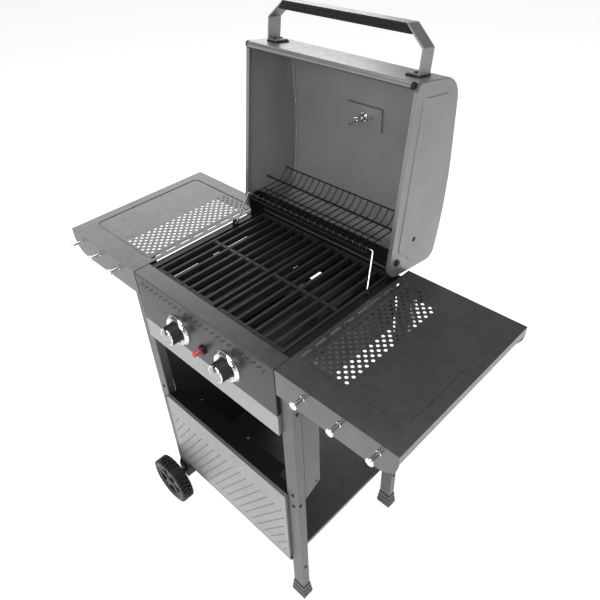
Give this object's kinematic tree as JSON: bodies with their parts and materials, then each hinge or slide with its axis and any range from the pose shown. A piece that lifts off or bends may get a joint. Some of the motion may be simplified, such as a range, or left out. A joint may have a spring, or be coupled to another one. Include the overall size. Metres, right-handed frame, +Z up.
{
  "type": "gas barbecue grill",
  "caption": "Wheeled cart gas barbecue with its lid raised, cast grates, warming rack, two side tables with tool hooks, control knobs and a bottom shelf.",
  "frame": {"origin": "on the ground, midway across the width and midway between the wheels' front and the open lid's back", "axes": "+Z up, +Y from the user to the back of the barbecue, +X to the user's right; the wheels are under the left legs (-X)"},
  "size_m": [1.004, 0.5836, 1.3313],
  "materials": {
    "grey_coat": "satin silver-grey powder coat",
    "table_coat": "satin dark grey powder coat",
    "panel_coat": "satin grey metallic coat",
    "black_enamel": "satin black enamel",
    "silver_sheet": "smooth silver coat",
    "polished": "polished plating",
    "stainless": "brushed",
    "cast_iron": "matt black seasoned iron",
    "brass": "machined",
    "black_plastic": "moulded, slight sheen",
    "red_plastic": "glossy"
  },
  "bodies": {
    "cart": {"axle_bracket_front": "black_plastic", "axle_bracket_rear": "black_plastic", "bottom_shelf": "table_coat", "burner_left": "stainless", "burner_right": "stainless", "control_panel": "panel_coat", "firebox": "black_enamel", "flame_tamer_left": "stainless", "flame_tamer_right": "stainless", "foot_front": "black_plastic", "foot_rear": "black_plastic", "front_brace": "black_enamel", "front_panel": "silver_sheet", "front_rail": "table_coat", "gas_manifold": "polished", "gas_valve_left": "brass", "gas_valve_right": "brass", "grate_left": "cast_iron", "grate_right": "cast_iron", "hinge_bolt_left": "polished", "hinge_bolt_right": "polished", "igniter_body": "black_plastic", "knob_bezel_left": "polished", "knob_bezel_right": "polished", "leg_front_left": "grey_coat", "leg_front_right": "grey_coat", "leg_rear_left": "grey_coat", "leg_rear_right": "grey_coat", "side_bracket_left": "grey_coat", "side_bracket_right": "grey_coat", "side_panel_left": "black_enamel", "side_table_left": "table_coat", "side_table_right": "table_coat", "tool_hook_left_1": "polished", "tool_hook_left_2": "polished", "tool_hook_left_3": "polished", "tool_hook_right_1": "polished", "tool_hook_right_2": "polished", "tool_hook_right_3": "polished", "wheel_axle": "polished"},
    "lid": {"lid_shell": "grey_coat", "lid_end_left": "grey_coat", "lid_end_right": "grey_coat", "lid_lip": "grey_coat", "handle_bar": "silver_sheet", "handle_grip": "black_plastic", "gauge_pan": "grey_coat", "thermometer": "polished", "wing_nut": "polished"},
    "rack": {"warming_rack": "black_enamel"},
    "arm_left": {"swing_arm_left": "polished"},
    "arm_right": {"swing_arm_right": "polished"},
    "stem_left": {"valve_stem_left": "polished"},
    "stem_right": {"valve_stem_right": "polished"},
    "dial_left": {"knob_left": "black_plastic"},
    "dial_right": {"knob_right": "black_plastic"},
    "button": {"igniter_button": "red_plastic"},
    "front_wheel": {"wheel_front": "black_plastic"},
    "rear_wheel": {"wheel_rear": "black_plastic"},
    "tray": {"grease_tray": "silver_sheet"}
  },
  "joints": [
    {"name": "lid_hinge", "type": "hinge", "parent": "cart", "child": "lid", "pos_m": [0, 0.11955, 0.8906], "axis": [1, 0, 0], "range_deg": [0, 97.5]},
    {"name": "rack_pivot", "type": "hinge", "parent": "lid", "child": "rack", "pos_m": [0, 0.17425, 0.923], "axis": [1, 0, 0], "range_deg": [-80, 0]},
    {"name": "arm_pivot_left", "type": "hinge", "parent": "cart", "child": "arm_left", "pos_m": [-0.2095, 0.04525, 0.847], "axis": [1, 0, 0], "range_deg": [0, 64]},
    {"name": "arm_pivot_right", "type": "hinge", "parent": "cart", "child": "arm_right", "pos_m": [0.2095, 0.04525, 0.847], "axis": [1, 0, 0], "range_deg": [0, 64]},
    {"name": "valve_turn_left", "type": "hinge", "parent": "cart", "child": "stem_left", "pos_m": [-0.082, -0.23775, 0.76], "axis": [0, -1, 0], "range_deg": [0, 180]},
    {"name": "valve_turn_right", "type": "hinge", "parent": "cart", "child": "stem_right", "pos_m": [0.082, -0.23775, 0.76], "axis": [0, -1, 0], "range_deg": [0, 180]},
    {"name": "knob_push_left", "type": "slide", "parent": "stem_left", "child": "dial_left", "axis": [0, 1, 0], "range_m": [0, 0.004], "stiffness_N_per_m": 800},
    {"name": "knob_push_right", "type": "slide", "parent": "stem_right", "child": "dial_right", "axis": [0, 1, 0], "range_m": [0, 0.004], "stiffness_N_per_m": 800},
    {"name": "igniter_push", "type": "slide", "parent": "cart", "child": "button", "axis": [0, 1, 0], "range_m": [0, 0.006], "stiffness_N_per_m": 800},
    {"name": "front_wheel_spin", "type": "hinge", "parent": "cart", "child": "front_wheel", "pos_m": [-0.25, -0.27275, 0.075], "axis": [0, 1, 0], "continuous": true},
    {"name": "rear_wheel_spin", "type": "hinge", "parent": "cart", "child": "rear_wheel", "pos_m": [-0.25, 0.19725, 0.075], "axis": [0, 1, 0], "continuous": true},
    {"name": "tray_slide", "type": "slide", "parent": "cart", "child": "tray", "axis": [0, 1, 0], "range_m": [0, 0.25]}
  ],
  "couplings": [
    {"joint": "rack_pivot", "follows": "lid_hinge", "ratio": -0.81551},
    {"joint": "arm_pivot_left", "follows": "lid_hinge", "ratio": 0.65385},
    {"joint": "arm_pivot_right", "follows": "lid_hinge", "ratio": 0.65385}
  ]
}
